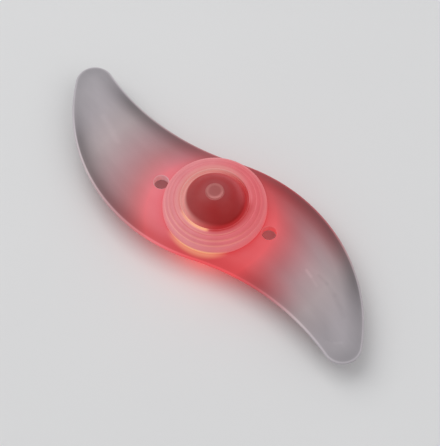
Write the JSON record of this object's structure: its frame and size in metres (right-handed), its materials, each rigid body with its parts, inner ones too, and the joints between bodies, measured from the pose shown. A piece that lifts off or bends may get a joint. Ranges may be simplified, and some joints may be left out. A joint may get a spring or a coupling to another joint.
{
  "type": "spoke wheel light",
  "caption": "S-shaped frosted leaf that ties to a bicycle wheel's spokes, with a round lamp whose ringed cap screws off and whose clear dome is the push button.",
  "frame": {"origin": "on the lamp's axis, at the flat back of the lamp base", "axes": "+X along the leaf from tip to tip, +Z out of the dome, away from the wheel"},
  "size_m": [0.13, 0.0478, 0.0213],
  "materials": {
    "frosted_leaf": "frosted translucent plastic, tinted red by the lamp near the hub",
    "frosted_base": "frosted translucent plastic, lit red from inside",
    "frosted_cap": "frosted translucent plastic, lit red from inside",
    "clear_dome": "clear plastic over the red lamp",
    "spring_steel": "bright spring steel",
    "seal_rubber": "pale silicone",
    "white_plastic": "moulded white plastic",
    "contact_metal": "sprung brass strip",
    "cell_steel": "bright steel can",
    "film": "insulating film",
    "board": "green solder mask",
    "black_plastic": "moulded black plastic",
    "tinned_metal": "tinned wire",
    "led_red": "clear red resin, lit",
    "black_resin": "black epoxy",
    "chip_ceramic": "chip resistor",
    "cap_ceramic": "chip capacitor"
  },
  "bodies": {
    "root": {"leaf_shell": "frosted_leaf", "lamp_base": "frosted_base", "retaining_clip": "spring_steel", "cell_holder": "white_plastic", "negative_contact": "contact_metal", "lower_cell": "cell_steel", "upper_cell": "cell_steel", "insulator_disc": "film", "positive_contact": "contact_metal", "circuit_board": "board", "switch_body": "black_plastic", "snap_disc": "spring_steel", "switch_cover": "spring_steel", "switch_pins": "tinned_metal", "led_1": "led_red", "led_2": "led_red", "led_3": "led_red", "led_leads": "tinned_metal", "controller_blob": "black_resin", "resistors": "chip_ceramic", "capacitor": "cap_ceramic"},
    "gasket": {"cap_gasket": "seal_rubber"},
    "cap": {"screw_cap": "frosted_cap", "dome_seal": "seal_rubber"},
    "button": {"button_dome": "clear_dome"},
    "plunger": {"switch_plunger": "black_plastic"}
  },
  "joints": [
    {"name": "cap_lift", "type": "slide", "parent": "root", "child": "gasket", "axis": [0, 0, 1], "range_m": [0, 0.00065]},
    {"name": "cap_turn", "type": "hinge", "parent": "gasket", "child": "cap", "pos_m": [0, 0, 0.0122], "axis": [0, 0, 1], "range_deg": [0, 261]},
    {"name": "button_press", "type": "slide", "parent": "cap", "child": "button", "axis": [0, 0, -1], "range_m": [0, 0.0004], "stiffness_N_per_m": 1500},
    {"name": "plunger_press", "type": "slide", "parent": "root", "child": "plunger", "axis": [0, 0, -1], "range_m": [0, 0.0004], "stiffness_N_per_m": 200}
  ],
  "couplings": [
    {"joint": "cap_turn", "follows": "cap_lift", "rad_per_m": 6981.3},
    {"joint": "plunger_press", "follows": "button_press", "ratio": 1}
  ]
}
